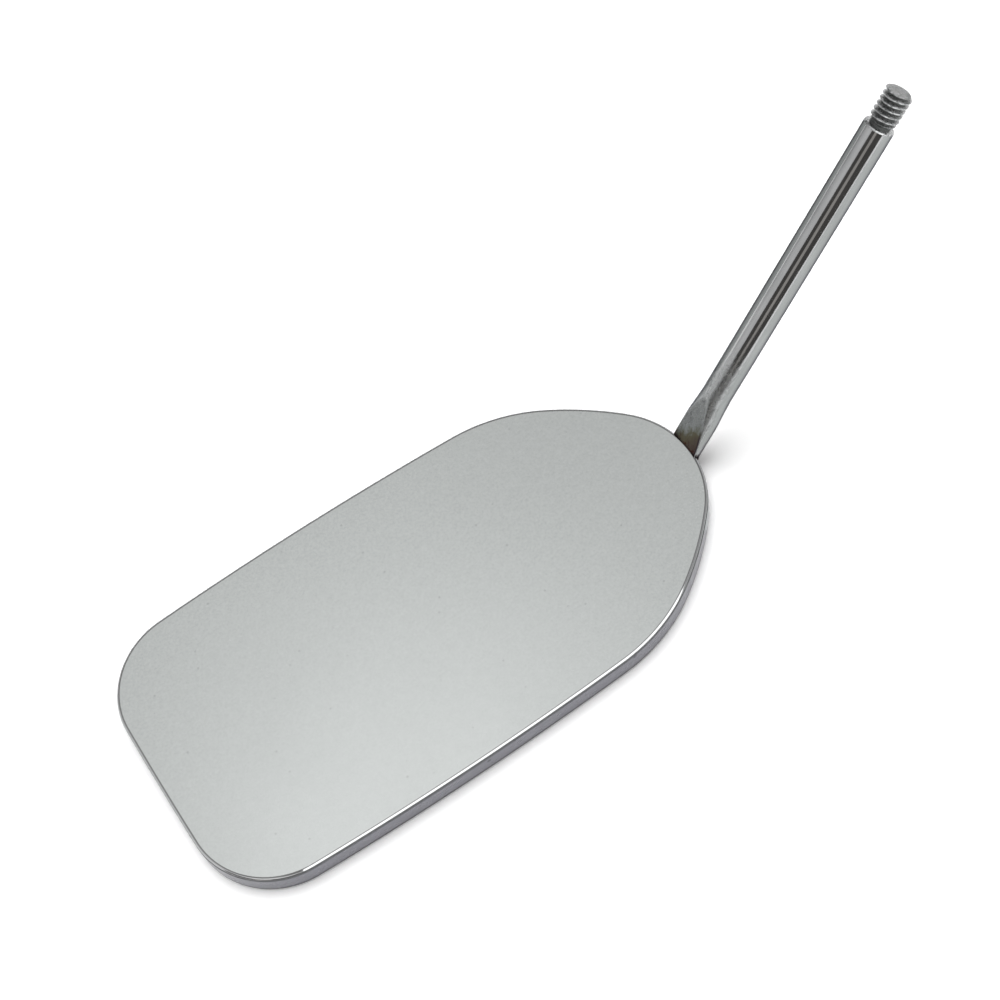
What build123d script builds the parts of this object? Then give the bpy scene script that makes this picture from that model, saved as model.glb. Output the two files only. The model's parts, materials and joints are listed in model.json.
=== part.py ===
from build123d import *

import os
from math import cos, radians, sin

# Head of a large intraoral photographic mirror: a thick polished steel paddle with a threaded rod welded
# to its rounded end.
#
# Millimetres.  The paddle lies flat with its back on Z = 0 and its mirror face up, +X runs along the paddle
# towards the rod, and the rod rises in a plane parallel to XZ.  The origin is the middle of the back face.

os.makedirs("parts", exist_ok=True)

# ---------------------------------------------------------------- paddle
plate_length = 71.25  # blunt end to the tip of the rounded end, nominal
plate_thickness = 3.2
rim_radius = 0.38  # polished round between the mirror face and the edge wall
back_radius = 0.4  # round between the edge wall and the back

# Half of the outline, from the middle of the blunt end towards the tip: tangent arcs of (radius, turn in
# degrees).  A last arc, centred on the long axis, closes it.
blunt_end = (550.0, 0.86)
blunt_corner = (10.0, 86.4)
long_side = (420.0, 5.48)
shoulder_curve = (21.6, 31.0)
tapered_flank = (40.0, 14.1)
outline_arcs = (blunt_end, blunt_corner, long_side, shoulder_curve, tapered_flank)
half_turn = 180.0

# ---------------------------------------------------------------- rod
rod_radius = 1.75
rod_rise = 53.7  # degrees between the rod and the mirror face
rod_side_shift = 0.45  # the rod stands this far to the +Y side of the paddle's long axis
rod_exposed = 45.7  # along its axis, from the rim's level to the shoulder
shoulder_chamfer = 0.14

# Foot: the round rod is pressed to an oval, and a sloping flat is ground on the side of the mirror face.
# Stations run along the axis from the rim's level.
foot_start = 8.5
foot_full = 3.5  # the oval has its full width from here down
foot_tail = 5.0  # the foot runs on this far below the rim's level, before it is trimmed
foot_half_width = 2.08
foot_half_depth = 1.62
flat_start = 7.8
flat_height_at_rim = 0.46  # from the axis to the flat

# ---------------------------------------------------------------- thread, no. 5 unified coarse, 40 per inch
thread_pitch = 0.635
thread_radius = 1.58
thread_length = 4.2  # shoulder to the rod's end, relief included
thread_lead_in = 0.08  # chamfer on the rod's end
thread_root = 1.0  # the threaded pin is rooted this deep in the shank
relief_length = 0.36
relief_radius = 1.2
groove_depth = 0.38
groove_floor = 0.06  # half-widths of the groove's section, at its floor and where it stands out of the metal
groove_mouth = 0.30
groove_overshoot = 0.08

# ---------------------------------------------------------------- weld
bead_half_width = 2.05
bead_radius = 1.1
bead_end_round = 0.3
bead_below_rim = 1.2  # the bead's middle lies this far below the rim's level

tolerance = 0.001


with BuildPart() as mirror_plate:
    with BuildSketch() as outline:
        with BuildLine():
            point = Vector(-plate_length / 2, 0)
            heading = Vector(0, 1)
            for radius, turn in outline_arcs:
                arc = JernArc(start=point, tangent=heading, radius=radius, arc_size=-turn)
                point = arc @ 1
                heading = arc % 1
            tip_radius = point.Y / heading.X
            tip_turn = half_turn - sum(turn for radius, turn in outline_arcs)
            tip_arc = JernArc(start=point, tangent=heading, radius=tip_radius, arc_size=-tip_turn)
            tip_x = (tip_arc @ 1).X
            mirror(about=Plane.XZ)
        make_face()
    extrude(amount=plate_thickness)
    plate_faces = mirror_plate.faces().sort_by(Axis.Z)
    fillet(plate_faces[-1].edges(), radius=rim_radius)
    fillet(plate_faces[0].edges(), radius=back_radius)
mirror_plate.part.label = "mirror_plate"

# The rod's own plane, above the paddle's tip: local Z runs along the rod, local X is the paddle's +Y, and
# local Y leans over the mirror face.  The rim's level is where its round meets the edge wall.
rim_level = plate_thickness - rim_radius
rod_direction = Vector(cos(radians(rod_rise)), 0, sin(radians(rod_rise)))
rod_plane = Plane(origin=(tip_x, rod_side_shift, rim_level), x_dir=(0, 1, 0), z_dir=rod_direction)
rod_axis = Axis(rod_plane.origin, rod_plane.z_dir)
turning_plane = Plane(origin=rod_plane.origin, x_dir=rod_plane.x_dir, z_dir=-rod_plane.y_dir)
side_plane = Plane(origin=rod_plane.origin, x_dir=rod_plane.z_dir, z_dir=-rod_plane.x_dir)
relief_end = rod_exposed + relief_length
rod_end = rod_exposed + thread_length
outside = rod_radius + thread_root

# The flat is carried on to where the foot is trimmed.
flat_slope = (rod_radius - flat_height_at_rim) / flat_start
flat_height_at_tail = flat_height_at_rim - flat_slope * foot_tail

with BuildPart() as stem:
    # threaded end: a plain pin, then a groove along a helix that runs out past its end
    with BuildSketch(rod_plane.offset(rod_exposed - thread_root)):
        Circle(thread_radius)
    extrude(amount=thread_root + thread_length)
    groove_centre = rod_plane.origin + rod_direction * (relief_end - thread_pitch / 2)
    with BuildLine():
        helix = Helix(
            pitch=thread_pitch,
            height=thread_length,
            radius=thread_radius,
            center=groove_centre,
            direction=rod_direction,
        )
    with BuildSketch(Plane(origin=helix @ 0, x_dir=helix @ 0 - groove_centre, z_dir=helix % 0)):
        with BuildLine():
            Polyline(
                (groove_overshoot, -groove_mouth),
                (groove_overshoot, groove_mouth),
                (-groove_depth, groove_floor),
                (-groove_depth, -groove_floor),
                close=True,
            )
        make_face()
    sweep(path=helix, is_frenet=True, mode=Mode.SUBTRACT)

    # lead-in cone on the end, and relief between the thread and the shoulder
    with BuildSketch(turning_plane):
        with BuildLine():
            Polyline(
                (thread_radius - thread_lead_in, rod_end),
                (outside, rod_end - thread_lead_in - (outside - thread_radius)),
                (outside, rod_end + thread_pitch),
                (thread_radius - thread_lead_in, rod_end + thread_pitch),
                close=True,
            )
        make_face()
        with BuildLine():
            Polyline(
                (relief_radius, rod_exposed - thread_root),
                (outside, rod_exposed - thread_root),
                (outside, relief_end + outside - relief_radius),
                (relief_radius, relief_end),
                close=True,
            )
        make_face()
    revolve(axis=rod_axis, mode=Mode.SUBTRACT)

    # shank, with a chamfered shoulder
    with BuildSketch(rod_plane.offset(rod_exposed)):
        Circle(rod_radius)
    extrude(amount=foot_start - rod_exposed)
    rod_circles = stem.edges().filter_by(GeomType.CIRCLE)
    shank_circles = rod_circles.filter_by(lambda edge: abs(edge.radius - rod_radius) < tolerance)
    chamfer(shank_circles.sort_by(rod_axis)[-1], length=shoulder_chamfer)

    # foot: round at its start, oval further down
    with BuildSketch(rod_plane.offset(foot_start)):
        Circle(rod_radius)
    with BuildSketch(rod_plane.offset(foot_full)) as oval:
        Ellipse(foot_half_width, foot_half_depth)
    loft()
    extrude(oval.sketch, amount=-foot_full - foot_tail)

    # flat on the mirror-face side of the foot
    with BuildSketch(side_plane):
        with BuildLine():
            Polyline(
                (flat_start, rod_radius),
                (-foot_tail, flat_height_at_tail),
                (-foot_tail, outside),
                (flat_start, outside),
                close=True,
            )
        make_face()
    extrude(amount=outside, both=True, mode=Mode.SUBTRACT)

    # the foot butts on the paddle's end wall, covers the rim's round there and ends level with the back
    with BuildSketch():
        add(outline.sketch)
    extrude(amount=rim_level, mode=Mode.SUBTRACT)
    add(mirror_plate.part, mode=Mode.SUBTRACT)
    split(bisect_by=Plane.XY, keep=Keep.TOP)
stem.part.label = "stem"

# Filler metal: a round bar along Y with rounded ends, cut back to what shows outside the foot and the paddle.
with BuildPart() as weld_bead:
    with BuildSketch(Plane.XZ.offset(-rod_side_shift)):
        with Locations((tip_x, rim_level - bead_below_rim)):
            Circle(bead_radius)
    extrude(amount=bead_half_width, both=True)
    fillet(weld_bead.edges().filter_by(GeomType.CIRCLE), radius=bead_end_round)
    add(mirror_plate.part, mode=Mode.SUBTRACT)
    add(stem.part, mode=Mode.SUBTRACT)
weld_bead.part.label = "weld_bead"

for piece in (mirror_plate, stem, weld_bead):
    export_step(piece.part, f"parts/{piece.part.label}.step")
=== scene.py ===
import json
from math import ceil, cos, exp, hypot, log, pi, radians, sin, sqrt

import bpy
from mathutils import Matrix, Vector, noise
from mathutils.geometry import delaunay_2d_cdt


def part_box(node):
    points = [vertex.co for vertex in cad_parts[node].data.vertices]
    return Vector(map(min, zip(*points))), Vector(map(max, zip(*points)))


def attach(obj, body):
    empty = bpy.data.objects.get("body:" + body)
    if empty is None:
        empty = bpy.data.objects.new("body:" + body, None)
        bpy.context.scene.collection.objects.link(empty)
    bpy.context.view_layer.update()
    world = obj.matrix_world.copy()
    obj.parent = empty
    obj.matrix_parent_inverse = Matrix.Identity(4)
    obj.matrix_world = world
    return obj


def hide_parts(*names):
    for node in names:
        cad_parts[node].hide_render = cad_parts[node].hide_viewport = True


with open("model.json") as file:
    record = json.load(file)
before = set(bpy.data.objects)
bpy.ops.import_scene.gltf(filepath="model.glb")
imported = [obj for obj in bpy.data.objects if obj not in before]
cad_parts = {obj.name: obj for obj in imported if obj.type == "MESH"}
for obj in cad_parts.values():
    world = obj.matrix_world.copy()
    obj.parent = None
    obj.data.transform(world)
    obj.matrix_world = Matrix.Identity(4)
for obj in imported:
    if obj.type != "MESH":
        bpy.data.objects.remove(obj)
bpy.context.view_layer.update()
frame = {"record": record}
MM = 0.001  # the sizes below are in millimetres, and Blender's are in metres

# ---------------------------------------------------------------- sizes
plate_lo, plate_hi = (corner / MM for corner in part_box("mirror_plate"))
thickness = plate_hi.z
rim_radius = 0.38  # polished round between the face and the edge wall
back_radius = 0.4  # round between the edge wall and the back
rim_level = thickness - rim_radius

# Half of the paddle's outline, from the middle of its blunt end: tangent arcs of (radius, turn in degrees).
# A last arc of tip_radius, centred on the long axis, closes it.
outline_arcs = ((550.0, 0.86), (10.0, 86.4), (420.0, 5.48), (21.6, 31.0), (40.0, 14.1))
tip_radius = 12.017

# The rod.  Stations count along it from the rim's level.
mounts = {mount["name"]: mount for mount in frame["record"]["mounts"]}
thread = mounts["handle_thread"]
rod_dir = Vector(thread["axis"])
side_dir = Vector((0, 1, 0))  # across the rod
flat_dir = rod_dir.cross(side_dir)  # out of the foot's ground flat
shoulder = 45.7
shoulder_chamfer = 0.14
rod_origin = Vector(thread["pos_m"]) / MM - rod_dir * shoulder
rod_radius = mounts["rod_shank"]["dims"]["r_mm"]
rod_end = shoulder + thread["dims"]["length_mm"]

thread_radius = thread["dims"]["r_mm"]
pitch = 0.635
lead_in = 0.08  # chamfer on the rod's end
relief_radius = 1.2
relief_end = shoulder + 0.36
groove_depth = 0.38
groove_floor, groove_mouth = 0.06, 0.29  # half-widths of the groove
groove_lead = 0.48  # shifts the groove along the rod

# The foot: the round rod is pressed to an oval, and a sloping flat is ground on it.
foot_start = 8.5
foot_full = 3.5  # the oval has its full width from here down
foot_half_width, foot_half_depth = 2.08, 1.62
flat_start = 7.8
flat_height_at_rim = 0.46  # from the axis to the flat

# The weld: a spindle along Y, its middle this far below the rim's level.
bead_half_width, bead_radius, bead_below_rim = 1.8, 0.8, 1.3


# ---------------------------------------------------------------- mesh helpers
def add_mesh(name, verts, faces, materials, indices, attributes=()):
    """A smooth mesh object from millimetre vertices, with a material index for each face.

    attributes is (name, kind, flat values) rows on the vertices."""
    mesh = bpy.data.meshes.new(name)
    mesh.from_pydata([Vector(v) * MM for v in verts], [], faces)
    mesh.polygons.foreach_set("material_index", indices)
    mesh.polygons.foreach_set("use_smooth", [True] * len(faces))
    for label, kind, values in attributes:
        layer = mesh.attributes.new(label, kind, "POINT")
        layer.data.foreach_set("vector" if kind == "FLOAT_VECTOR" else "value", values)
    for material in materials:
        mesh.materials.append(material)
    mesh.update()
    obj = bpy.data.objects.new(name, mesh)
    bpy.context.collection.objects.link(obj)
    return obj


def bands(rows, count, first=0):
    """Quads between closed rows of count vertices each, the rows listed one after another from first.

    They face outwards where each row runs clockwise, seen from the rows that follow it."""
    quads = []
    for row in range(rows - 1):
        a, b = first + row * count, first + (row + 1) * count
        quads += [(b + i, b + (i + 1) % count, a + (i + 1) % count, a + i) for i in range(count)]
    return quads


def clamp(value):
    return min(max(value, 0), 1)


# ---------------------------------------------------------------- node helpers
NOISE_SPAN = (0.3, 0.7)  # nearly all of a noise texture's values


class Tree:
    """The nodes of a new material or world, with short calls to add and link them."""

    def __init__(self, name, library=None):
        self.owner = (bpy.data.materials if library is None else library).new(name)
        self.owner.use_nodes = True
        self.nodes, self.links = self.owner.node_tree.nodes, self.owner.node_tree.links

    def set(self, node, inputs):
        for key, value in inputs.items():
            socket = node.inputs[key]
            if isinstance(value, bpy.types.NodeSocket):
                self.links.new(value, socket)
            else:
                socket.default_value = value

    def add(self, kind, inputs=None, **settings):
        node = self.nodes.new("ShaderNode" + kind)
        for key, value in settings.items():
            setattr(node, key, value)
        self.set(node, inputs or {})
        return node

    def finish(self, **inputs):
        """The material, once its shader has these inputs."""
        named = {key.replace("_", " "): value for key, value in inputs.items()}
        self.set(self.nodes["Principled BSDF"], named)
        return self.owner

    def position(self, scale=(1, 1, 1)):
        """Object coordinates in millimetres, times scale."""
        place = self.add("TexCoord").outputs["Object"]
        return self.add("VectorMath", {0: place, 1: [s / MM for s in scale]}, operation="MULTIPLY").outputs[0]

    def on_rod(self, scale=(1, 1, 1)):
        """(across, out of the flat, station) on the rod in millimetres, times scale."""
        place = self.add("Attribute", attribute_name="rod").outputs["Vector"]
        return self.add("VectorMath", {0: place, 1: scale}, operation="MULTIPLY").outputs[0]

    def attribute(self, name):
        return self.add("Attribute", attribute_name=name).outputs["Fac"]

    def split(self, vector):
        """The X, Y and Z of a vector."""
        return self.add("SeparateXYZ", {0: vector}).outputs

    def noise(self, vector, scale=1.0, detail=3, roughness=0.6, distortion=0.0):
        inputs = {"Vector": vector, "Scale": scale, "Detail": detail, "Roughness": roughness,
                  "Distortion": distortion}
        return self.add("TexNoise", inputs).outputs["Fac"]

    def dots(self, vector, scale, core, edge):
        """Sparse round dots: 1 within core of a point, 0 beyond edge."""
        distance_to_dot = self.add("TexVoronoi", {"Vector": vector, "Scale": scale}).outputs["Distance"]
        return self.remap(distance_to_dot, (core, edge), (1, 0), smooth=True)

    def remap(self, value, old, new, smooth=False):
        inputs = {0: value, 1: old[0], 2: old[1], 3: new[0], 4: new[1]}
        kind = "SMOOTHSTEP" if smooth else "LINEAR"
        return self.add("MapRange", inputs, interpolation_type=kind).outputs[0]

    def spread(self, texture, low, high):
        """A noise texture, spread from low to high."""
        return self.remap(texture, NOISE_SPAN, (low, high))

    def fade(self, value, start, end, full=1):
        """0 where value is at start, rising softly to full at end."""
        return self.remap(value, (start, end), (0, full), smooth=True)

    def math(self, operation, a, b=0.0):
        return self.add("Math", {0: a, 1: b}, operation=operation).outputs[0]

    def total(self, a, b):
        return self.math("ADD", a, b)

    def times(self, a, b):
        return self.math("MULTIPLY", a, b)

    def mix(self, factor, a, b):
        inputs = {"Factor": factor, 6: a, 7: b}
        return self.add("Mix", inputs, data_type="RGBA").outputs[2]

    def ramp(self, factor, stops):
        """A colour ramp from (position, colour) stops."""
        node = self.add("ValToRGB", {"Fac": factor})
        elements = node.color_ramp.elements
        for place, colour in stops[2:]:
            elements.new(place)
        for element, (place, colour) in zip(elements, stops):
            element.position = place
            element.color = colour
        return node.outputs["Color"]

    def bump(self, height, distance, strength, **below):
        """Relief of a height, its distance in millimetres.  Normal=... puts it on top of another relief."""
        inputs = {"Height": height, "Distance": distance * MM, "Strength": strength, **below}
        return self.add("Bump", inputs).outputs["Normal"]


def grey(value, blue=0.0):
    """A grey with this much more blue than red."""
    return (value, value * (1 + blue / 2), value * (1 + blue), 1)


def paint(red, green, blue):
    return (red, green, blue, 1)


# ---------------------------------------------------------------- metals
def mirror_metal():
    """Lapped and polished face: a fine even grain, broad soft clouds, a few specks."""
    t = Tree("mirror_face_steel")
    place = t.position()
    clouds = t.noise(place, scale=0.045, roughness=0.5, distortion=0.6)
    flecks = t.noise(place, scale=0.9)
    grain = t.noise(place, scale=3.2, detail=4, roughness=0.7)
    fine = t.noise(place, scale=9.0, detail=2)

    tone = t.total(t.remap(clouds, (0.35, 0.65), (-0.018, 0.018)), t.spread(grain, -0.11, 0.11))
    tone = t.total(tone, t.spread(flecks, -0.025, 0.025))
    steel = t.mix(t.total(tone, 0.5), paint(0.395, 0.410, 0.404), paint(0.752, 0.778, 0.768))
    specks = t.dots(place, 0.34, core=0.03, edge=0.07)
    steel = t.mix(t.times(specks, 0.25), steel, grey(0.30))

    rough = t.total(t.spread(grain, 0.20, 0.26), t.spread(clouds, -0.02, 0.02))
    relief = t.bump(t.total(t.times(grain, 0.7), t.times(fine, 0.3)), distance=0.0018, strength=0.6)
    return t.finish(Base_Color=steel, Metallic=1.0, Roughness=rough, Normal=relief)


def rim_metal():
    """Buffed round of the rim, with painted shade as dark lines along its two borders."""
    t = Tree("rim_steel")
    wear = t.noise(t.position(), scale=1.4)
    buffed = grey(0.60, 0.02)
    # painted shade: a dark grey on the face side of the round and near black on the wall side
    painted_border_shade = t.ramp(t.attribute("rim"), [
        (0.0, grey(0.28)), (0.14, grey(0.26)), (0.24, buffed), (0.58, buffed),
        (0.68, grey(0.11, 0.05)), (1.0, grey(0.10, 0.08))])
    steel = t.mix(t.remap(wear, (0.35, 0.75), (0, 0.18)), painted_border_shade, grey(0.34))
    rough = t.remap(wear, (0.3, 0.8), (0.05, 0.13))
    relief = t.bump(wear, distance=0.002, strength=0.3)
    # A Specular Tint this dark makes the reflection fade at grazing angles: painted shade where the rim is
    # seen edge-on.
    return t.finish(Base_Color=steel, Metallic=1.0, Roughness=rough, Normal=relief,
                    Specular_Tint=paint(0.12, 0.12, 0.13))


def wall_metal():
    """Ground edge wall: fine lines, a painted floor reflection, painted shade at its top and foot and in a
    few small pits and one dent.
    """
    t = Tree("edge_wall_steel")
    place = t.position()
    along, _, height_up = t.split(place)
    lines = t.noise(t.position((0.25, 0.25, 9.0)), detail=4, roughness=0.65)
    waves = t.noise(place, scale=0.16, detail=2, roughness=0.5)
    patches = t.noise(t.position((0.5, 0.5, 1.2)))

    tone = t.total(t.spread(lines, -0.10, 0.10), t.spread(patches, -0.14, 0.14))
    # lighter towards the foot: a painted reflection of the lit floor
    tone = t.total(tone, t.remap(height_up, (0.5, 2.7), (0.7, 0.3)))
    steel = t.mix(tone, paint(0.155, 0.155, 0.175), paint(0.275, 0.274, 0.305))
    # painted shade: dark lines at the top of the wall and at its foot, the second for the contact shadow on
    # the floor
    painted_top_shade = t.fade(height_up, rim_level - 0.28, rim_level - 0.18, full=0.8)
    painted_foot_shade = t.fade(height_up, 0.78, 0.5, full=0.9)
    painted_foot_shade = t.times(painted_foot_shade, t.remap(along, (14, 27), (1, 0.6), smooth=True))
    steel = t.mix(t.math("MAXIMUM", painted_top_shade, painted_foot_shade), steel, paint(0.055, 0.055, 0.06))

    # The dent's distance counts only a fifth across the paddle, where the wall itself sets its place.
    dent_scale, dent_place = (1, 0.2, 1), (15.6, -3.6, 2.5)
    to_dent = t.add("VectorMath", {0: t.position(dent_scale), 1: dent_place}, operation="DISTANCE")
    dent = t.fade(to_dent.outputs["Value"], 0.36, 0.22)
    pits_and_painted_shade = t.math("MAXIMUM", t.dots(place, 0.19, core=0.035, edge=0.06), dent)
    # the pits and the dent are bumped in below, and darkened here with painted shade
    steel = t.mix(t.times(pits_and_painted_shade, 0.75), steel, paint(0.05, 0.05, 0.06))

    height = t.math("SUBTRACT", t.total(t.times(lines, 0.25), waves), pits_and_painted_shade)
    rough = t.spread(patches, 0.20, 0.32)
    relief = t.bump(height, distance=0.006, strength=0.4)
    return t.finish(Base_Color=steel, Metallic=1.0, Roughness=rough, Normal=relief)


def back_metal():
    """Back of the paddle: satin, with long straight polishing lines."""
    t = Tree("back_steel")
    lines = t.noise(t.position((0.05, 6.0, 1.0)), detail=4, roughness=0.7)
    clouds = t.noise(t.position(), scale=0.06, roughness=0.5)
    steel = t.mix(t.spread(lines, 0.3, 0.7), grey(0.44, 0.02), grey(0.62, 0.02))
    rough = t.total(t.spread(lines, 0.26, 0.36), t.spread(clouds, -0.03, 0.03))
    relief = t.bump(lines, distance=0.002, strength=0.5)
    return t.finish(Base_Color=steel, Metallic=1.0, Roughness=rough, Normal=relief)


def rod_metal():
    """Polished rod: faint drawn lines, and at the foot scuffs, a brown heat tint, rust spots and a corner of
    painted shade.
    """
    t = Tree("rod_steel")
    across, out_of_flat, station = t.split(t.on_rod())
    cut = t.attribute("crest")  # how deep the flat is ground here
    flat = t.remap(cut, (0.0, 0.17), (0, 1))
    lines = t.noise(t.on_rod((5.0, 5.0, 0.10)))
    smudge = t.noise(t.on_rod((0.8, 0.8, 0.25)))
    mottle = t.noise(t.on_rod((1.6, 1.6, 0.9)), detail=4, roughness=0.65, distortion=0.4)
    spots = t.noise(t.on_rod((3.2, 3.2, 2.2)), roughness=0.7)
    scratches = t.noise(t.on_rod((2.4, 2.4, 0.8)), detail=5, roughness=0.75, distortion=0.8)

    tone = t.total(t.spread(lines, -0.12, 0.12), t.spread(smudge, -0.2, 0.2))
    steel = t.mix(t.total(tone, 0.5), grey(0.36, 0.02), grey(0.50, 0.02))

    # dull and scuffed on the side of the mirror face, and more so on the ground flat
    worn = t.times(t.fade(station, 16.0, 11.0), t.fade(out_of_flat, 0.2, 0.9))
    worn = t.math("MAXIMUM", worn, flat)
    scuffs = t.fade(scratches, 0.46, 0.66)
    dull = t.mix(scuffs, paint(0.36, 0.37, 0.37), paint(0.13, 0.135, 0.135))
    steel = t.mix(t.times(worn, 0.6), steel, dull)

    # heat tint on the flat: olive, then brown towards the weld, with a ragged slanting border
    ragged = t.total(station, t.spread(mottle, -1.0, 1.0))
    ragged = t.total(ragged, t.times(across, 1.1))
    heat = t.times(t.fade(ragged, 3.6, 1.6), t.remap(flat, (0.0, 1.0), (0.1, 1)))
    tint = t.ramp(t.remap(ragged, (-2.0, 3.6), (0, 1)), [
        (0.0, paint(0.085, 0.052, 0.050)), (0.35, paint(0.120, 0.092, 0.072)),
        (0.62, paint(0.155, 0.135, 0.085)), (0.8, paint(0.17, 0.175, 0.125)), (1.0, paint(0.20, 0.21, 0.20))])
    steel = t.mix(t.times(heat, 0.92), steel, tint)

    # painted shade in the corner by the joint on the +Y side, then rust spots
    corner = t.times(t.fade(across, 0.6, 1.8, full=0.75), t.fade(station, 1.8, 0.3))
    steel = t.mix(t.times(corner, flat), steel, paint(0.055, 0.060, 0.045))
    rust = t.times(t.times(t.fade(spots, 0.52, 0.60), t.fade(station, 1.6, 0.4)), flat)
    steel = t.mix(t.times(rust, 0.8), steel, paint(0.075, 0.018, 0.014))

    # a purple line where the flat ends on the -Y side, and a dark one along the weld
    brink = t.times(t.remap(cut, (0.05, 0.2), (0, 1)), t.remap(cut, (0.55, 0.95), (1, 0)))
    brink = t.times(t.times(brink, t.fade(across, -0.6, -1.0)), t.fade(station, 4.5, 2.0, full=0.85))
    steel = t.mix(brink, steel, paint(0.040, 0.026, 0.045))
    joint = t.fade(t.total(station, t.spread(spots, -0.3, 0.3)), 0.5, 0.0, full=0.85)
    steel = t.mix(joint, steel, paint(0.04, 0.03, 0.028))

    rough = t.total(t.spread(smudge, 0.07, 0.12), t.times(worn, t.spread(mottle, 0.07, 0.26)))
    rough = t.total(rough, t.times(heat, 0.15))
    near_foot = t.fade(station, 19.0, 8.0)
    height = t.times(t.total(mottle, t.times(scuffs, -0.5)), near_foot)
    drawn = t.bump(lines, distance=0.0012, strength=0.35)
    relief = t.bump(height, distance=0.02, strength=0.6, Normal=drawn)
    # A Specular Tint this dark makes the reflection fade at grazing angles: painted shade along the rod's
    # outlines.
    return t.finish(Base_Color=steel, Metallic=1.0, Roughness=rough, Normal=relief,
                    Specular_Tint=paint(0.1, 0.1, 0.12))


def thread_metal():
    """Cut thread: painted highlight on the crests and painted shade in the roots, with traces of grime."""
    t = Tree("thread_steel")
    chatter = t.noise(t.on_rod((7.0, 7.0, 16.0)), roughness=0.7)
    grime = t.noise(t.on_rod((3.2, 3.2, 4.5)), detail=4, roughness=0.7)
    # lighter towards the crests, darker in the roots: painted highlight and painted shade
    steel = t.ramp(t.attribute("crest"), [
        (0.0, grey(0.13)), (0.35, grey(0.24)), (0.75, grey(0.46, 0.02)), (1.0, grey(0.66, 0.02))])
    steel = t.mix(t.fade(grime, 0.44, 0.60, full=0.75), steel, paint(0.085, 0.095, 0.09))
    rough = t.spread(chatter, 0.14, 0.34)
    relief = t.bump(chatter, distance=0.05, strength=0.9)
    return t.finish(Base_Color=steel, Metallic=1.0, Roughness=rough, Normal=relief)


def weld_metal():
    """Filler metal: brown oxide over dull steel, rust in the hollows."""
    t = Tree("weld_bead_metal")
    patches = t.noise(t.position(), scale=2.6, detail=4, roughness=0.7, distortion=0.5)
    ripple = t.noise(t.position((1.5, 5.0, 1.5)))
    colour = t.ramp(patches, [
        (0.3, paint(0.035, 0.012, 0.010)), (0.45, paint(0.045, 0.027, 0.020)),
        (0.6, paint(0.08, 0.055, 0.040)), (0.75, paint(0.15, 0.13, 0.11))])
    rough = t.spread(patches, 0.6, 0.3)
    metallic = t.remap(patches, (0.35, 0.6), (0.4, 0.95))
    relief = t.bump(t.total(ripple, t.times(patches, 0.6)), distance=0.04, strength=0.7)
    return t.finish(Base_Color=colour, Metallic=metallic, Roughness=rough, Normal=relief)


# ---------------------------------------------------------------- paddle
def outline():
    """(x, y) points and outward normals all the way round the paddle, from the middle of the blunt end."""
    longest_step, widest_turn = 0.3, 2.5  # of the points along an arc: millimetres, degrees
    x, y, heading = plate_lo.x, 0.0, 90.0
    points, turned = [], 0.0
    for arc in (*outline_arcs, None):
        radius, turn = arc or (y / cos(radians(heading)), 180.0 - turned)
        centre_x = x + radius * cos(radians(heading - 90))
        centre_y = y + radius * sin(radians(heading - 90))
        count = max(3, ceil(radius * radians(turn) / longest_step), ceil(turn / widest_turn))
        for i in range(count):
            angle = radians(heading + 90 - turn * i / count)
            normal = (cos(angle), sin(angle))
            points.append(((centre_x + radius * normal[0], centre_y + radius * normal[1]), normal))
        heading -= turn
        turned += turn
        angle = radians(heading + 90)
        x, y = centre_x + radius * cos(angle), centre_y + radius * sin(angle)
    tip = ((x, 0.0), (1.0, 0.0))
    other_half = [((px, -py), (nx, -ny)) for (px, py), (nx, ny) in reversed(points[1:])]
    return points + [tip] + other_half


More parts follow.
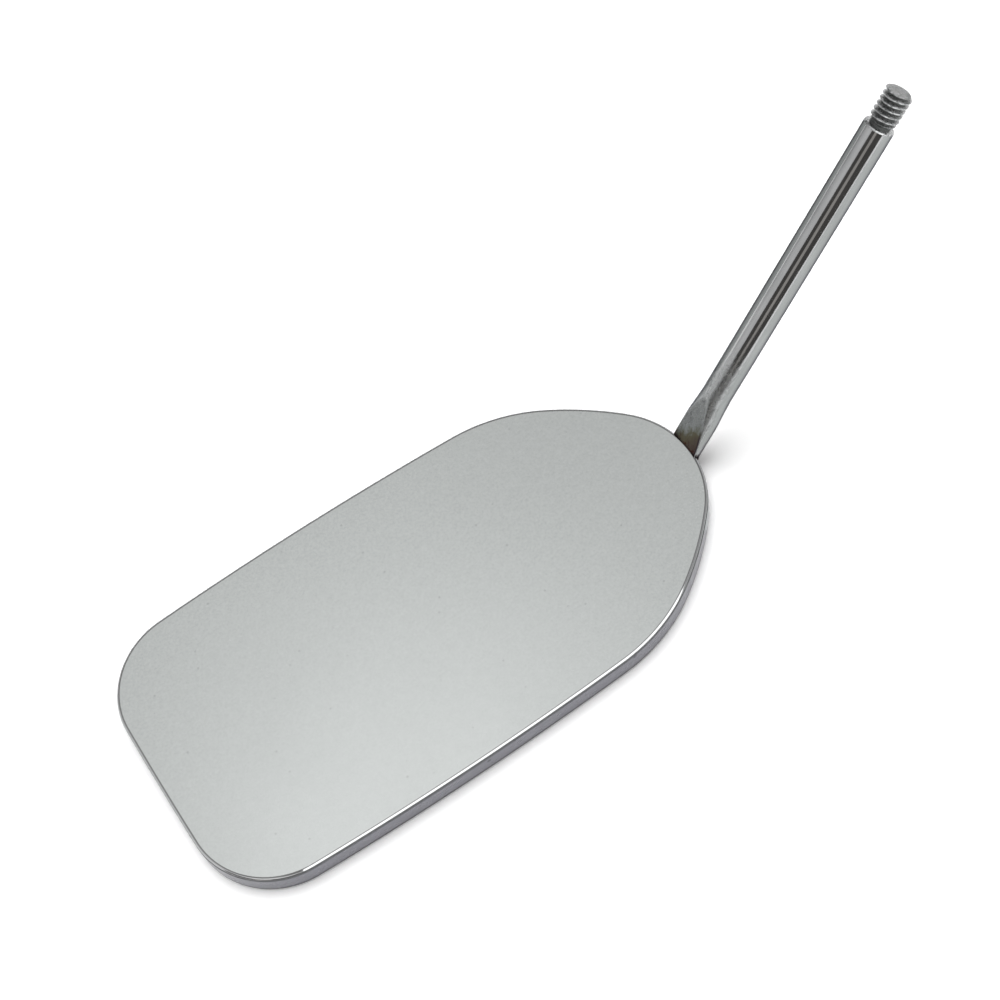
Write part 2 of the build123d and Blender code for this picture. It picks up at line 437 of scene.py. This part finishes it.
def paddle():
    """The plate: a closed stack of outline rows from the back to the face, its ends filled with triangles."""
    face, rim, wall, underside = range(4)  # slots of its metals
    back_rows, wall_rows, rim_rows = 10, 6, 16
    guard = 0.02  # short rows at the wall's two ends keep its shading flat
    back_border, face_border = 0.3, 0.1  # the same for the back and the face, inside their rounds

    edge = outline()
    count = len(edge)
    rows = [(back_radius + back_border, 0.0)]  # inset and height of each row
    for i in range(back_rows + 1):
        angle = pi / 2 * i / back_rows
        rows.append((back_radius * (1 - sin(angle)), back_radius * (1 - cos(angle))))
    wall_lo, wall_hi = back_radius + guard, rim_level - guard
    rows += [(0.0, wall_lo + (wall_hi - wall_lo) * i / wall_rows) for i in range(wall_rows + 1)]
    first_rim = len(rows)
    last_rim = first_rim + rim_rows
    for i in range(rim_rows + 1):
        angle = pi / 2 * i / rim_rows
        rows.append((rim_radius * (1 - cos(angle)), rim_level + rim_radius * sin(angle)))
    rows.append((rim_radius + face_border, thickness))

    verts, across_rim = [], []  # the second runs from 0 on the face to 1 on the wall
    for row, (inset, height) in enumerate(rows):
        share = clamp((last_rim - row) / rim_rows)
        for (x, y), (nx, ny) in edge:
            verts.append((x - nx * inset, y - ny * inset, height))
            across_rim.append(share)
    faces, kinds = bands(len(rows), count), []
    for row in range(len(rows) - 1):
        kind = underside if row < 1 else wall if row < first_rim else rim if row < last_rim else face
        kinds += [kind] * count

    def fill(first, height, kind, flip):
        """Triangles over the row that starts at vertex first, on an even grid of points."""
        spacing, margin = 1.6, 0.9
        row_share = 0.866  # from one row of points to the next, by the spacing
        columns = int((plate_hi.x - plate_lo.x) / spacing) + 2
        lines = int((plate_hi.y - plate_lo.y) / (spacing * row_share)) + 2
        probes = edge[:: max(1, count // 240)]
        inner = []
        for j in range(lines):
            for i in range(columns):
                x = plate_lo.x + (i + 0.5 * (j % 2)) * spacing
                point = Vector((x, plate_lo.y + j * spacing * row_share))
                if all((point - Vector(place)).dot(Vector(normal)) < -margin for place, normal in probes):
                    inner.append(point)
        ring = [Vector(verts[first + i][:2]) for i in range(count)]
        ring_edges = [(i, (i + 1) % count) for i in range(count)]
        inside_only, tolerance = 1, 1e-6
        made = delaunay_2d_cdt(ring + inner, ring_edges, [], inside_only, tolerance)
        places, triangles, origins = made[0], made[2], made[3]
        index = {}
        for out, sources in enumerate(origins):
            on_ring = [source for source in sources if source < count]
            if on_ring:
                index[out] = first + on_ring[0]
            else:
                index[out] = len(verts)
                verts.append((*places[out], height))
                across_rim.append(0.0)
        for triangle in triangles:
            loop = [index[i] for i in triangle]
            faces.append(loop[::-1] if flip else loop)
            kinds.append(kind)

    fill(0, 0.0, underside, True)
    fill((len(rows) - 1) * count, thickness, face, False)
    metals = [mirror_metal(), rim_metal(), wall_metal(), back_metal()]
    return add_mesh("plate_polished", verts, faces, metals, kinds, [("rim", "FLOAT", across_rim)])


# ---------------------------------------------------------------- rod
def thread_section(station, angle):
    """Radius of the threaded pin at a station and angle, and how near the crest it is, from 0 to 1."""
    phase = (station - relief_end + groove_lead) / pitch - angle / (2 * pi)
    from_groove = abs(phase - round(phase)) * pitch
    share = clamp((groove_mouth - from_groove) / (groove_mouth - groove_floor))
    radius = thread_radius - groove_depth * share
    if station < relief_end:
        radius = relief_radius
    out_of_relief = relief_radius + max(station - relief_end, 0)
    into_end = thread_radius - lead_in + rod_end - station
    radius = min(radius, out_of_relief, into_end)
    return radius, clamp((radius - (thread_radius - groove_depth)) / groove_depth)


def soft_min(a, b, width):
    """The smaller of two numbers, with a round of about width where they meet."""
    low = min(a, b)
    return low - width * log(exp((low - a) / width) + exp((low - b) / width))


def foot_section(station, angle):
    """Offsets (across, out of the flat) of the shank and the foot, and how deep the flat is cut, up to 1."""
    uneven_from = foot_start + 8  # grinding and heat left the surface uneven below this station
    uneven_ramp, uneven_depth, flat_wave = 6, 0.010, 0.02
    full_cut, edge_round = 0.3, 0.015

    share = clamp((foot_start - station) / (foot_start - foot_full))
    share = share * share * (3 - 2 * share)  # from round to oval, with soft ends
    across = (rod_radius + (foot_half_width - rod_radius) * share) * cos(angle)
    out = (rod_radius + (foot_half_depth - rod_radius) * share) * sin(angle)
    if station > uneven_from:
        return across, out, 0.0
    uneven = min(1, (uneven_from - station) / uneven_ramp)
    dents = noise.noise(Vector((across * 1.6, station * 0.9, 8.0)))
    out -= uneven_depth * uneven * max(sin(angle), 0) * dents
    flat = flat_height_at_rim + (rod_radius - flat_height_at_rim) * station / flat_start
    flat += flat_wave * noise.noise(Vector((across * 0.8, station * 0.35, 3.0)))
    return across, soft_min(out, flat, edge_round), clamp((out - flat) / full_cut)


def rod_point(station, across, out):
    """A place in the shared frame from a station and offsets on the rod."""
    return rod_origin + rod_dir * station + side_dir * across + flat_dir * out


def foot_end(angle):
    """Station where a line down the foot meets the paddle or the level of its back."""
    def clear(station):
        p = rod_point(station, *foot_section(station, angle)[:2])
        inside = plate_hi.x - tip_radius + sqrt(tip_radius ** 2 - p.y ** 2) - p.x
        if inside < 0 or p.z > thickness:
            return p.z > 0
        beside_rim = p.z > rim_level and inside < rim_radius
        return beside_rim and hypot(rim_radius - inside, p.z - rim_level) > rim_radius

    under_back, halvings = -5.0, 40
    low, high = under_back, foot_start
    for _ in range(halvings):
        middle = (low + high) / 2
        low, high = (low, middle) if clear(middle) else (middle, high)
    return high


def stem():
    """The rod in rows round its axis, from its threaded end down to the foot."""
    count = 160
    rows_per_pitch, shank_rows, foot_rows = 26, 34, 78
    thread_slot, rod_slot = 0, 1
    end_tone, shoulder_tone = 0.5, 0.9  # of the turned faces, as places on the thread's crest ramp of painted highlight and shade
    angles = [2 * pi * i / count for i in range(count)]
    verts, local, crests, row_slots = [], [], [], []

    def put(place, offsets, crest):
        verts.append(place)
        local.extend(offsets)
        crests.append(crest)

    def round_row(station, radius, crest, slot):
        for angle in angles:
            across, out = radius * cos(angle), radius * sin(angle)
            put(rod_point(station, across, out), (across, out, station), crest)
        row_slots.append(slot)

    def pin_row(station, shrink=0.0):
        for angle in angles:
            radius, crest = thread_section(station, angle)
            across, out = (radius - shrink) * cos(angle), (radius - shrink) * sin(angle)
            put(rod_point(station, across, out), (across, out, station), crest)
        row_slots.append(thread_slot)

    def foot_row(stations):
        for angle, station in zip(angles, stations):
            across, out, cut = foot_section(station, angle)
            put(rod_point(station, across, out), (across, out, station), cut)
        row_slots.append(rod_slot)

    # end face: centre, rings, and a slightly broken edge
    put(rod_point(rod_end, 0, 0), (0, 0, rod_end), end_tone)
    for radius in (0.3, 0.6, 0.9, 1.15):
        round_row(rod_end, radius, end_tone, thread_slot)
    for drop, shrink in ((0, 0.03), (0.006, 0.008)):
        pin_row(rod_end - drop, shrink)

    # thread and relief, down to just above the shoulder
    steps = ceil((rod_end - shoulder) / pitch * rows_per_pitch)
    for i in range(1, steps):
        pin_row(rod_end + (shoulder - rod_end) * i / steps)
    pin_row(shoulder + 0.004)

    # the shoulder's face and its chamfer, both with softened corners: radius and height over the shoulder
    face_radius = rod_radius - shoulder_chamfer
    turned_rows = ((relief_radius + 0.04, 0.0), (face_radius - 0.02, 0.0), (face_radius + 0.01, -0.014),
                   (rod_radius - 0.012, -shoulder_chamfer + 0.008))
    for radius, height in turned_rows:
        round_row(shoulder + height, radius, shoulder_tone, thread_slot)
    round_row(shoulder - shoulder_chamfer - 0.02, rod_radius, shoulder_tone, rod_slot)

    # shank, then the foot down to the paddle in closer rows
    shank_top, foot_top = shoulder - shoulder_chamfer - 0.06, foot_start + 4
    for i in range(shank_rows + 1):
        foot_row([shank_top + (foot_top - shank_top) * i / shank_rows] * count)
    ends = [foot_end(angle) for angle in angles]
    for i in range(1, foot_rows + 1):
        foot_row([foot_top + (end - foot_top) * i / foot_rows for end in ends])

    rows = len(row_slots)
    faces = [(0, 1 + i, 1 + (i + 1) % count) for i in range(count)] + bands(rows, count, 1)
    kinds = [thread_slot] * count
    for slot in row_slots[1:]:
        kinds += [slot] * count
    last, heel = 1 + (rows - 1) * count, len(verts)
    put(Vector((plate_hi.x, rod_origin.y, 0)), (0, 0, 0), end_tone)
    faces += [(heel, last + (i + 1) % count, last + i) for i in range(count)]
    kinds += [rod_slot] * count
    return add_mesh("stem_turned", verts, faces, [thread_metal(), rod_metal()], kinds,
                    [("rod", "FLOAT_VECTOR", local), ("crest", "FLOAT", crests)])


# ---------------------------------------------------------------- weld
def bead():
    """Filler metal: a lumpy spindle along the joint, sunk in the paddle and the foot."""
    rows, count = 45, 40
    blunt = 6  # power of the end's roundness: the higher, the blunter
    lump_size, shrink = 0.06, 0.03
    lumps_round, lumps_along = 1.2, 7.0
    middle = rim_level - bead_below_rim
    verts = []
    for i in range(rows):
        share = -1 + 2 * (i + 0.5) / rows
        for j in range(count):
            angle = 2 * pi * j / count
            place = Vector((cos(angle) * lumps_round, share * lumps_along, sin(angle) * lumps_round))
            lump = noise.noise(place)
            radius = bead_radius * sqrt(1 - share ** blunt) * (1 + lump_size * lump - shrink)
            verts.append((plate_hi.x + radius * cos(angle), rod_origin.y + bead_half_width * share,
                          middle + radius * sin(angle)))
    faces = bands(rows, count)
    for end, first, flip in ((-1, 0, False), (1, (rows - 1) * count, True)):
        tip = len(verts)
        verts.append((plate_hi.x, rod_origin.y + bead_half_width * end, middle))
        for j in range(count):
            triangle = (tip, first + j, first + (j + 1) % count)
            faces.append(triangle[::-1] if flip else triangle)
    return add_mesh("bead_lumps", verts, faces, [weld_metal()], [0] * len(faces))


for piece, node, slot in ((paddle(), "mirror_plate", "mirror_steel"), (stem(), "stem", "rod_steel"),
                          (bead(), "weld_bead", "weld_metal")):
    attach(piece, "root")
    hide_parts(node)


# ---------------------------------------------------------------- studio
def card(name, corners, material, in_metal=True):
    """A card that the camera never sees, from its corners: it shows in the metal, or lights the floor."""
    obj = add_mesh(name, corners, [tuple(range(len(corners)))], [material], [0])
    obj.visible_camera = obj.visible_transmission = obj.visible_shadow = False
    obj.visible_glossy, obj.visible_diffuse = in_metal, not in_metal


def table_card(name, points, material):
    """A card lying just above the floor, from its (x, y) corners."""
    above_floor = 0.4
    card(name, [(x, y, above_floor) for x, y in points], material)


def screen_card(name, x, y_near, y_far, height, material):
    """A card standing across the paddle's long axis."""
    card(name, [(x, y_near, 0), (x, y_far, 0), (x, y_far, height), (x, y_near, height)], material)


def light_paper(name, colour):
    """Pale translucent sheet, faintly lit from below."""
    t = Tree(name)
    weave = t.noise(t.position(), scale=0.8)
    sheet = t.mix(weave, colour, paint(*(channel * 0.985 for channel in colour[:3])))
    return t.finish(Base_Color=sheet, Roughness=0.75, Emission_Color=sheet, Emission_Strength=0.12)


def glow(name, colour, strength):
    """Evenly glowing cloth."""
    t = Tree(name)
    t.nodes.remove(t.nodes["Principled BSDF"])
    shine = t.add("Emission", {"Color": colour, "Strength": strength})
    t.set(t.nodes["Material Output"], {"Surface": shine.outputs[0]})
    return t.owner


floor_reach, floor_level = 3000, -0.02
floor_corners = [(x * floor_reach, y * floor_reach, floor_level)
                 for x, y in ((-1, -1), (1, -1), (1, 1), (-1, 1))]
floor_paper = light_paper("floor_paper", paint(0.97, 0.97, 0.97))
floor = add_mesh("floor", floor_corners, [(0, 1, 2, 3)], [floor_paper], [0])

# The big softbox overhead and to the right: its edges as directions from two places on the face.
softbox_reach = 900
softbox_edges = (
    (Vector((-26.7, -18.0, thickness)),
     ((-0.2363, -0.9273, 0.2891), (-0.1217, -0.2770, 0.9530), (-0.06, -0.10, 0.993))),
    (Vector((24.7, -14.7, thickness)),
     ((0.411, 0.029, 0.909), (0.505, -0.161, 0.846), (0.747, -0.636, 0.16))))
softbox_corners = [place + Vector(way) * softbox_reach for place, ways in softbox_edges for way in ways]
card("softbox", softbox_corners, glow("softbox_cloth", paint(1, 1, 1), 2.2))

# The key light: a round card overhead, which lights the floor and doesn't show in the metal.
key_x, key_y, key_height, key_radius = 40, 250, 880, 420
key_corners = [(key_x + key_radius * cos(radians(turn)), key_y + key_radius * sin(radians(turn)), key_height)
               for turn in range(0, 360, 30)]
card("key_light", key_corners, glow("key_cloth", paint(1, 1, 1), 5.2), in_metal=False)

# What the metal mirrors lower down: a dark table, a dark screen with a dim strip on it, and a pale table.
dark = glow("dark_cloth", paint(0.9, 0.86, 0.82), 0.11)
dim = glow("dim_cloth", paint(1.0, 0.95, 0.90), 0.5)
table_card("dark_table", [(-900, -1500), (12, -1500), (14, -45), (6, -37), (-900, -37)], dark)
screen_card("dark_screen", -320, -33, -900, 190, dark)
screen_card("dim_strip", -319, -185, -320, 130, dim)
far_points = [(80, 20), (80, 140), (20, 300), (-380, 620), (-150, 200), (-40, 85), (15, 40), (28, 20)]
table_card("far_table", far_points, glow("far_cloth", paint(0.97, 1.0, 0.98), 0.6))
table_card("near_table", [(28, -95), (110, -95), (110, -4), (32, -4)],
           glow("near_cloth", paint(0.97, 1.0, 0.98), 1.0))


# ---------------------------------------------------------------- sky
sky = Tree("studio", bpy.data.worlds)
bpy.context.scene.world = sky.owner
direction = sky.add("TexCoord").outputs["Generated"]


def spot(towards, inner, outer, low, high):
    """A soft round patch in the sky: high within inner degrees of a direction, low beyond outer degrees."""
    aim = Vector(towards).normalized()
    dot = sky.add("VectorMath", {0: direction, 1: aim}, operation="DOT_PRODUCT").outputs["Value"]
    return sky.remap(dot, (cos(radians(outer)), cos(radians(inner))), (low, high), smooth=True)


shine = sky.total(spot((0.05, 0.33, 0.94), 4, 34, 0.0, 0.31), spot((-1, -0.05, 0.2), 8, 55, 0.44, 0.84))
shine = sky.total(shine, spot((0.05, 0.36, 0.93), 1, 10, 0.0, 0.7))
shine = sky.total(shine, spot((-0.6, -0.55, 0.58), 8, 28, 0.0, 0.55))
shine = sky.times(shine, spot((-0.165, -0.475, 0.864), 8, 18, 1.0, 0.35))
seen = sky.add("LightPath").outputs["Is Camera Ray"]
strength = sky.add("Mix", {0: seen, 2: shine, 3: 1.0}).outputs[0]  # even and white behind the floor
sky.set(sky.nodes["Background"], {"Color": paint(1, 1, 1), "Strength": strength})

bpy.context.scene.view_settings.view_transform = "Standard"

# ---------------------------------------------------------------- camera
# It looks at aim from back, turned by azimuth and raised by elevation, and is rolled about its line of sight.
aim = Vector((14.185, 7.342, thickness)) * MM
distance = 242.589 * MM
azimuth, elevation, roll = radians(-19.116), radians(59.807), radians(-15.823)
back = Vector((sin(azimuth) * cos(elevation), -cos(azimuth) * cos(elevation), sin(elevation)))
level = Vector((cos(azimuth), sin(azimuth), 0))
upright = back.cross(level)
right = level * cos(roll) + upright * sin(roll)
up = back.cross(right)
camera_data = bpy.data.cameras.new("camera")
camera_data.lens, camera_data.sensor_width = 75.6, 36.0
camera_data.clip_start, camera_data.clip_end = 0.01, 20.0
camera = bpy.data.objects.new("camera", camera_data)
turned = Matrix((right, up, back)).transposed().to_4x4()
camera.matrix_world = Matrix.Translation(aim + back * distance) @ turned
bpy.context.collection.objects.link(camera)
bpy.context.scene.camera = camera
